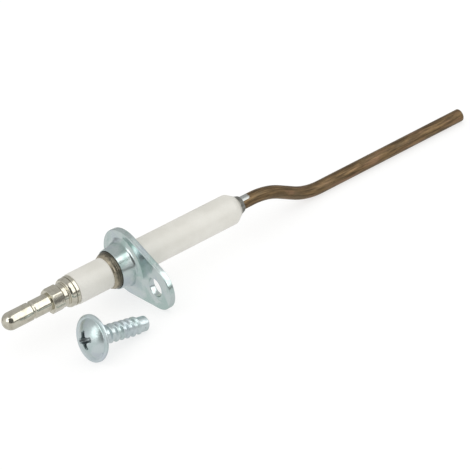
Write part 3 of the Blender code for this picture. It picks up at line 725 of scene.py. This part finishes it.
def make_mounting_flange():
    """Pressed plate with a drawn collar: the front edge is rolled over, and the back edge is sheared."""
    count = 360
    front = FACE_X - PLATE_THICKNESS
    mouth = flange_low.x
    roll = 0.19 * MM
    shear = 0.12 * MM
    fillet_end = COLLAR_FOOT_RADIUS + COLLAR_FILLET
    lip = 0.12 * MM
    lobe_turn = lobe_direction()

    collar = rounded(
        [
            (FACE_X, SLEEVE_BORE_RADIUS + 0.12 * MM),
            (FACE_X - 0.12 * MM, SLEEVE_BORE_RADIUS),
            (mouth + lip, SLEEVE_BORE_RADIUS, 0.05 * MM),
            (mouth, SLEEVE_BORE_RADIUS + lip, 0.06 * MM),
            (mouth, COLLAR_MOUTH_RADIUS + 0.02 * MM, 0.09 * MM),
            (front - 0.50 * MM, COLLAR_FOOT_RADIUS - 0.22 * MM, 0.85 * MM),
            (front, fillet_end - 0.55 * MM, 2.2 * MM),
            (front, fillet_end),
        ],
        steps=10,
    )
    rings = [axis_ring(p.x, [p.y] * count) for p in collar]

    def outline_ring(station, inset, share=1.0):
        """A ring at a share of the way from the fillet's end to the outline moved in by inset."""
        radii = []
        for i in range(count):
            turn = 2 * math.pi * i / count - lobe_turn
            radii.append(fillet_end + share * (teardrop_radius(turn, inset) - fillet_end))
        return axis_ring(station, radii)

    rings += [outline_ring(front, roll + 0.03 * MM, share) for share in (0.15, 0.4, 0.7, 1.0)]
    for i in range(9):
        turn = math.radians(90.0 * i / 8)
        rings.append(outline_ring(front + roll * (1 - math.cos(turn)), roll * (1 - math.sin(turn))))
    for i in range(5):
        turn = math.radians(90.0 * i / 4)
        rings.append(outline_ring(FACE_X - shear * (1 - math.sin(turn)), shear * (1 - math.cos(turn))))
    rings.append(outline_ring(FACE_X, shear + 0.03 * MM))
    flange = mesh_from_rings("mounting_flange_fine", rings, closed=True)

    hole = rounded(
        [
            (front - 1.0 * MM, 0.0),
            (front - 1.0 * MM, SCREW_HOLE_RADIUS + 0.5 * MM),
            (front - 0.02 * MM, SCREW_HOLE_RADIUS + 0.08 * MM),
            (front + 0.08 * MM, SCREW_HOLE_RADIUS, 0.1 * MM),
            (FACE_X - 0.1 * MM, SCREW_HOLE_RADIUS),
            (FACE_X + 0.4 * MM, SCREW_HOLE_RADIUS + 0.3 * MM),
            (FACE_X + 0.4 * MM, 0.0),
        ],
        steps=6,
    )
    cutter = lathe("screw_hole_cutter", hole, closed=False, segments=96)
    across = LOBE_SPACING * math.sin(lobe_turn)
    down = LOBE_SPACING * math.cos(lobe_turn)
    cutter.data.transform(Matrix.Translation((0.0, across, -down)))
    cut(flange, cutter)
    return flange


# ----------------------------------------------------------------------------
# Electrode rod
# ----------------------------------------------------------------------------


def rod_path():
    """Centre points along the cranked rod, and the normal of the crank's plane."""
    drop = Vector((0.0, BEND_SIDE, -(AXIS_Z - ROD_RADIUS)))
    start = Vector((rod_low.x, AXIS_Y, AXIS_Z))
    first = Vector((ceramic_high.x + BEND_DISTANCE, AXIS_Y, AXIS_Z))
    second = first + Vector((BEND_RUN, 0.0, 0.0)) + drop
    tip = Vector((rod_high.x, second.y, second.z))
    ahead = Vector((1.0, 0.0, 0.0))
    slant = (second - first).normalized()
    turn = ahead.angle(slant)
    tangent = BEND_RADIUS * math.tan(turn / 2)
    inward = drop.normalized()

    points = []

    def straight(a, b, spacing):
        steps = max(2, round((b - a).length / spacing))
        points.extend(a.lerp(b, i / steps) for i in range(steps))

    def bend(corner, incoming, outgoing):
        begin = corner - incoming * tangent
        across = (outgoing - incoming * incoming.dot(outgoing)).normalized()
        for i in range(16):
            angle = turn * i / 16
            sideways = across * BEND_RADIUS * (1 - math.cos(angle))
            points.append(begin + sideways + incoming * BEND_RADIUS * math.sin(angle))

    straight(start, first - ahead * tangent, 2 * MM)
    bend(first, ahead, slant)
    straight(first + slant * tangent, second - slant * tangent, 0.8 * MM)
    bend(second, slant, ahead)
    straight(second + ahead * tangent, tip, 1.2 * MM)
    points.append(tip)
    return points, ahead.cross(inward)


def make_electrode_rod():
    count = 72
    points, normal = rod_path()
    edge = 0.28 * MM
    rows = []
    lengths = []
    travelled = points[0].x
    for i, point in enumerate(points):
        before = points[max(i - 1, 0)]
        after = points[min(i + 1, len(points) - 1)]
        travelled += (point - before).length
        rows.append((point, (after - before).normalized(), ROD_RADIUS))
        lengths.append(travelled)
    ahead = rows[-1][1]
    tip = points[-1]
    tip_length = lengths[-1]
    rows.pop()
    lengths.pop()
    for i in range(9):
        angle = math.radians(90.0 * i / 8)
        back = edge * (1 - math.sin(angle))
        rows.append((tip - ahead * back, ahead, ROD_RADIUS - edge * (1 - math.cos(angle))))
        lengths.append(tip_length - back)
    rings = []
    flow = []
    start = points[0]
    rings.append([tuple(start)])
    flow.append((lengths[0], 0.0, 0.0))
    for (point, direction, radius), length in zip(rows, lengths):
        upward = normal.cross(direction)
        ring = []
        for k in range(count):
            turn = 2 * math.pi * k / count
            offset = normal * (radius * math.sin(turn)) - upward * (radius * math.cos(turn))
            ring.append(tuple(point + offset))
            flow.append((length, radius * math.sin(turn), radius * math.cos(turn)))
        rings.append(ring)
    rings.append([tuple(tip)])
    flow.append((tip_length, 0.0, 0.0))
    rod = mesh_from_rings("electrode_rod_fine", rings)
    layer = rod.data.attributes.new("along_rod", "FLOAT_VECTOR", "POINT")
    layer.data.foreach_set("vector", np.array(flow, np.float32).ravel())
    return rod


# ----------------------------------------------------------------------------
# Fixing screw
# ----------------------------------------------------------------------------


def screw_matrix():
    """Places the screw's own frame, with Z from the head's underside to the point, as the CAD screw lies."""
    tilt = math.atan2(HEAD_RADIUS - SCREW_POINT_RADIUS, SCREW_LENGTH)
    turn = math.radians(SCREW_TURN_DEGREES)
    along = Vector((math.cos(tilt) * math.cos(turn), math.cos(tilt) * math.sin(turn), -math.sin(tilt)))
    point_reach = SCREW_LENGTH * along.x + 1.3 * MM * math.sqrt(1 - along.x**2)
    middle = Vector(
        (
            screw_high.x - point_reach,
            (screw_low.y + screw_high.y) / 2 + HEAD_RIM / 2 * along.y,
            HEAD_RADIUS * math.cos(tilt),
        )
    )
    return Matrix.Translation(middle) @ along.to_track_quat("Z", "Y").to_matrix().to_4x4()


def dome_curve():
    """The radius of the sphere that the head's dome is cut from."""
    rise = HEAD_HEIGHT + WASHER_TOP
    return (DOME_RADIUS**2 + rise**2) / (2 * rise)


def head_outline():
    """Pan head on a washer: dome, a shallow hollow around it, the washer's rim and its underside."""
    curve = dome_curve()
    outline = [Vector((-HEAD_HEIGHT, 0.0))]
    widest = math.asin(DOME_RADIUS / curve)
    for i in range(1, 41):
        turn = widest * i / 40
        outline.append(Vector((-HEAD_HEIGHT + curve * (1 - math.cos(turn)), curve * math.sin(turn))))
    outline += rounded(
        [
            tuple(outline[-1]),
            (WASHER_TOP + 0.10 * MM, DOME_RADIUS + 0.12 * MM, 0.12 * MM),
            (WASHER_TOP + 0.02 * MM, DOME_RADIUS + 0.45 * MM, 0.25 * MM),
            (-0.50 * MM, HEAD_RADIUS - 0.01 * MM, 0.18 * MM),
            (0.0, HEAD_RADIUS, 0.12 * MM),
            (0.0, SCREW_ROOT_RADIUS + 0.42 * MM, 0.1 * MM),
            (0.42 * MM, SCREW_ROOT_RADIUS),
        ],
        steps=6,
    )[1:]
    return outline


def thread_radii(station, count):
    """The thread's radius all round at one station: a right-hand ridge that fades in and out at its ends."""
    radii = []
    for i in range(count):
        turn = i / count
        coil = round(station / SCREW_PITCH - turn)
        crest = SCREW_PITCH * (coil + turn)
        off = abs(station - crest) / SCREW_PITCH
        ridge = min(1.0, max(0.0, (0.27 - off) / 0.21))
        ridge = ridge * ridge * (3 - 2 * ridge) * 0.3 + ridge * 0.7
        starts = min(1.0, max(0.0, (crest - 0.75 * MM) / (0.7 * MM)))
        stops = min(1.0, max(0.0, (SCREW_LENGTH - SCREW_POINT_LENGTH + 0.3 * MM - crest) / (0.7 * MM)))
        depth = (SCREW_CREST_RADIUS - SCREW_ROOT_RADIUS) * starts * stops
        radii.append(SCREW_ROOT_RADIUS + depth * ridge)
    return radii


def cross_outline(span, width, corner):
    """Points around a cross with rounded inner corners."""
    half, side = span / 2, width / 2
    quarter = [Vector((half, -side * 0.8)), Vector((half + side * 0.25, 0.0)), Vector((half, side * 0.8))]
    quarter.append(Vector((half - side * 0.3, side)))
    for i in range(7):
        turn = math.radians(90.0 * i / 6)
        quarter.append(Vector((side + corner * (1 - math.sin(turn)), side + corner * (1 - math.cos(turn)))))
    quarter.append(Vector((side, half - side * 0.3)))
    points = []
    for arm in range(4):
        spin = Matrix.Rotation(math.radians(90.0 * arm), 2)
        points += [spin @ point for point in quarter]
    return points


def mark_recess(screw):
    """Stores, for the material, how deep each point of the recess lies below the dome, for the painted shade
    there.
    """
    curve = dome_curve()
    depths = []
    for vertex in screw.data.vertices:
        across = math.hypot(vertex.co.x, vertex.co.y)
        dome = -HEAD_HEIGHT + curve - math.sqrt(max(curve**2 - across**2, 0.0))
        inside = across < 2.8 * MM and vertex.co.z < 0.0
        depths.append((max(vertex.co.z - dome, 0.0) if inside else 0.0, 0.0, 0.0))
    layer = screw.data.attributes.new("recess_depth", "FLOAT_VECTOR", "POINT")
    layer.data.foreach_set("vector", np.array(depths, np.float32).ravel())


def make_fixing_screw():
    count = 112
    place = screw_matrix()
    turns = [2 * math.pi * i / count for i in range(count)]

    def ring(station, radii):
        return [(r * math.cos(t), r * math.sin(t), station) for r, t in zip(radii, turns)]

    rings = []
    for station, radius in head_outline():
        rings.append([(0.0, 0.0, station)] if radius < 1e-7 else ring(station, [radius] * count))
    thread_start, thread_end = 0.5 * MM, SCREW_LENGTH - SCREW_POINT_LENGTH + 0.5 * MM
    rows = 210
    for i in range(rows):
        station = thread_start + (thread_end - thread_start) * i / (rows - 1)
        rings.append(ring(station, thread_radii(station, count)))
    point = rounded(
        [
            (thread_end + 0.05 * MM, SCREW_ROOT_RADIUS),
            (thread_end + 0.4 * MM, SCREW_POINT_RADIUS, 0.2 * MM),
            (SCREW_LENGTH - 0.38 * MM, SCREW_POINT_RADIUS, 0.12 * MM),
            (SCREW_LENGTH, SCREW_POINT_RADIUS - 0.36 * MM, 0.12 * MM),
            (SCREW_LENGTH - 0.06 * MM, 0.0),
        ],
        steps=6,
    )
    for station, radius in point[:-1]:
        rings.append(ring(station, [radius] * count))
    rings.append([(0.0, 0.0, point[-1].x)])
    screw = mesh_from_rings("fixing_screw_fine", rings)

    depths = [(-0.6, 5.2, 1.25, 0.55), (0.0, 4.5, 1.15, 0.5), (0.5, 3.8, 1.05, 0.42), (1.2, 2.8, 0.95, 0.34)]
    depths += [(1.75, 1.9, 0.85, 0.26), (1.95, 1.2, 0.7, 0.15)]
    recess = []
    turned = Matrix.Rotation(math.radians(RECESS_TURN_DEGREES), 2)
    for depth, span, width, corner in depths:
        outline = cross_outline(span * MM, width * MM, corner * MM)
        recess.append([(*(turned @ p), -HEAD_HEIGHT + depth * MM) for p in outline])
    recess.insert(0, [(0.0, 0.0, recess[0][0][2])])
    recess.append([(0.0, 0.0, -HEAD_HEIGHT + 2.15 * MM)])
    cutter = mesh_from_rings("recess_cutter", recess)
    cut(screw, cutter)
    mark_recess(screw)
    screw.data.transform(place)
    return screw


# ----------------------------------------------------------------------------
# Everything on its body
# ----------------------------------------------------------------------------

nickel = nickel_material("nickel_plate", (0.67, 0.645, 0.545), (0.50, 0.465, 0.375))
zinc = zinc_material(
    "zinc_plate", (0.62, 0.70, 0.69), (0.47, 0.60, 0.57), (0.57, 0.64, 0.68), 0.14 * MM, 0.20
)
screw_zinc = zinc_material(
    "screw_zinc", (0.66, 0.74, 0.75), (0.54, 0.65, 0.64), (0.62, 0.68, 0.74), 0.10 * MM, 0.33, "recess_depth"
)
cement = grainy_material("cement", (0.62, 0.58, 0.50), (0.42, 0.38, 0.31), 0.3 * MM, 0.95)
graphite = grainy_material("graphite", (0.10, 0.10, 0.11), (0.035, 0.035, 0.04), 0.2 * MM, 0.75)

finish_piece(make_ceramic(), ceramic_material(), "electrode", "ceramic_insulator")
finish_piece(make_end_washer(), nickel, "electrode", "end_washer")
finish_piece(make_clamp_bush(), nickel, "electrode", "clamp_bush")
finish_piece(make_rod_collar(), steel_material(), "electrode", "rod_collar")
finish_piece(make_crimp_sleeve(), sleeve_material(), "electrode", "crimp_sleeve")
finish_piece(make_terminal_plug(), nickel, "electrode", "terminal_plug", 40.0)
finish_piece(make_mounting_flange(), zinc, "electrode", "mounting_flange")
finish_piece(make_electrode_rod(), rod_material(), "electrode", "electrode_rod")
finish_piece(make_fixing_screw(), screw_zinc, "screw", "fixing_screw", 38.0)
for node, material in (("plug_end_cement", cement), ("spark_end_cement", cement), ("packing_ring", graphite)):
    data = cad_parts[node].data
    data.materials.clear()
    data.materials.append(material)


# ----------------------------------------------------------------------------
# Floor, light and camera
# ----------------------------------------------------------------------------


def plane(name, middle, facing, width, height, material):
    """A flat stage piece that faces a point."""
    shape = bmesh.new()
    bmesh.ops.create_grid(shape, x_segments=1, y_segments=1, size=0.5)
    mesh = bpy.data.meshes.new(name)
    shape.to_mesh(mesh)
    shape.free()
    mesh.materials.append(material)
    obj = bpy.data.objects.new(name, mesh)
    obj.scale = (width, height, 1.0)
    obj.location = middle
    obj.rotation_euler = (Vector(facing) - Vector(middle)).to_track_quat("Z", "Y").to_euler()
    bpy.context.scene.collection.objects.link(obj)
    return obj


def floor_material():
    shade = Shade("floor_paper", Roughness=0.9)
    shade.shader.inputs["Specular IOR Level"].default_value = 0.0
    paper = shade.noise(shade.place, 30 * MM, 3.0)
    shade.set("Base Color", shade.blend(paper, (0.345, 0.345, 0.345), (0.355, 0.355, 0.355)))
    shade.shader.inputs["Emission Color"].default_value = (1.0, 1.0, 1.0, 1.0)
    shade.shader.inputs["Emission Strength"].default_value = 0.69
    return shade.material


def add_area_light(name, direction, distance, width, height, power, aim):
    light = bpy.data.lights.new(name, "AREA")
    light.shape = "RECTANGLE"
    light.size = width
    light.size_y = height
    light.energy = power
    obj = bpy.data.objects.new(name, light)
    obj.location = aim + Vector(direction).normalized() * distance
    obj.rotation_euler = (-Vector(direction)).to_track_quat("-Z", "Y").to_euler()
    bpy.context.scene.collection.objects.link(obj)
    return obj


middle = (cad_low + cad_high) / 2
floor = plane("floor", (0.0, 0.0, -0.02 * MM), (0.0, 0.0, 1.0), 4.0, 4.0, floor_material())
floor.visible_glossy = False


def side_share(tree, value, start, end):
    """A share from 0 at start to 1 at end."""
    node = tree.nodes.new("ShaderNodeMapRange")
    node.inputs["From Min"].default_value = start
    node.inputs["From Max"].default_value = end
    tree.links.new(value, node.inputs["Value"])
    return node.outputs["Result"]


def side_mix(tree, share, colour, brightness):
    """Moves a colour towards an even brightness."""
    node = tree.nodes.new("ShaderNodeMixRGB")
    node.inputs["Color2"].default_value = (brightness, brightness, brightness, 1.0)
    tree.links.new(share, node.inputs["Fac"])
    tree.links.new(colour, node.inputs["Color1"])
    return node.outputs["Color"]


def studio_world():
    """Even surroundings. Mirror-like surfaces see a dark front horizon, a dim back and a bright left."""
    world = bpy.data.worlds.new("studio")
    world.use_nodes = True
    tree = world.node_tree
    even = tree.nodes["Background"]
    even.inputs["Color"].default_value = (1.0, 1.0, 0.985, 1.0)
    even.inputs["Strength"].default_value = AMBIENT
    seen = tree.nodes.new("ShaderNodeBackground")
    coordinates = tree.nodes.new("ShaderNodeTexCoord")
    split = tree.nodes.new("ShaderNodeSeparateXYZ")
    tree.links.new(coordinates.outputs["Generated"], split.inputs["Vector"])
    ramp = tree.nodes.new("ShaderNodeValToRGB")
    height = tree.nodes.new("ShaderNodeMapRange")
    height.inputs["From Min"].default_value = -1.0
    tree.links.new(split.outputs["Z"], height.inputs["Value"])
    tree.links.new(height.outputs["Result"], ramp.inputs["Fac"])
    stops = ramp.color_ramp.elements
    stops[0].position = 0.0
    stops[1].position = 1.0
    for _ in range(len(SURROUNDINGS) - 2):
        stops.new(0.5)
    for stop, (height_of_stop, brightness) in zip(stops, SURROUNDINGS):
        stop.position = (height_of_stop + 1) / 2
        stop.color = (brightness, brightness, brightness, 1.0)
    above = side_share(tree, split.outputs["Z"], -0.10, 0.15)
    backward = side_share(tree, split.outputs["Y"], -0.10, 0.35)
    both = tree.nodes.new("ShaderNodeMath")
    both.operation = "MULTIPLY"
    tree.links.new(above, both.inputs[0])
    tree.links.new(backward, both.inputs[1])
    behind = both.outputs["Value"]
    left = side_share(tree, split.outputs["X"], -0.45, -0.85)
    brightness = side_mix(tree, behind, ramp.outputs["Color"], BEHIND)
    brightness = side_mix(tree, left, brightness, LEFT)
    tree.links.new(brightness, seen.inputs["Color"])
    rays = tree.nodes.new("ShaderNodeLightPath")
    mix = tree.nodes.new("ShaderNodeMixShader")
    tree.links.new(rays.outputs["Is Glossy Ray"], mix.inputs["Fac"])
    tree.links.new(even.outputs["Background"], mix.inputs[1])
    tree.links.new(seen.outputs["Background"], mix.inputs[2])
    tree.links.new(mix.outputs["Shader"], tree.nodes["World Output"].inputs["Surface"])
    bpy.context.scene.world = world


studio_world()


def softbox(name, direction, distance, width, height, radiance):
    """A rectangular light of a given radiance that only mirror-like surfaces see."""
    power = radiance * math.pi * width * height
    light = add_area_light(name, direction, distance, width, height, power, middle)
    light.visible_diffuse = False
    return light


softbox("front_softbox", (0.40, -0.60, 0.66), 0.6, 0.62, 0.78, 1.26)
softbox("left_softbox", (-0.74, -0.26, 0.61), 0.6, 0.46, 0.46, 1.5)

def add_camera():
    data = bpy.data.cameras.new("camera")
    data.sensor_width = 36.0
    data.lens = CAMERA_LENS_MM
    data.clip_start = 0.01
    data.clip_end = 20.0
    camera = bpy.data.objects.new("camera", data)
    level = math.cos(CAMERA_ELEVATION)
    across = math.sin(CAMERA_AZIMUTH) * level
    away = -math.cos(CAMERA_AZIMUTH) * level
    back = Vector((across, away, math.sin(CAMERA_ELEVATION)))
    right = Vector((math.cos(CAMERA_AZIMUTH), math.sin(CAMERA_AZIMUTH), 0.0))
    up = back.cross(right)
    rolled_right = right * math.cos(CAMERA_ROLL) - up * math.sin(CAMERA_ROLL)
    rolled_up = up * math.cos(CAMERA_ROLL) + right * math.sin(CAMERA_ROLL)
    axes = Matrix((rolled_right, rolled_up, back)).transposed()
    camera.matrix_world = Matrix.Translation(CAMERA_AIM + back * CAMERA_DISTANCE) @ axes.to_4x4()
    bpy.context.scene.collection.objects.link(camera)
    bpy.context.scene.camera = camera
    return back


towards_camera = add_camera()


def card_material():
    shade = Shade("black_card", Roughness=1.0)
    shade.shader.inputs["Specular IOR Level"].default_value = 0.0
    felt = shade.noise(shade.place, 0.1)
    shade.set("Base Color", shade.blend(felt, (0.11, 0.11, 0.11), (0.13, 0.13, 0.13)))
    return shade.material


card_place = middle + towards_camera * 0.4
card = plane("camera_card", card_place, middle, 0.40, 0.40, card_material())
card.visible_camera = False
card.visible_diffuse = False
card.visible_shadow = False

bpy.context.scene.view_settings.view_transform = "Standard"

bpy.context.view_layer.update()
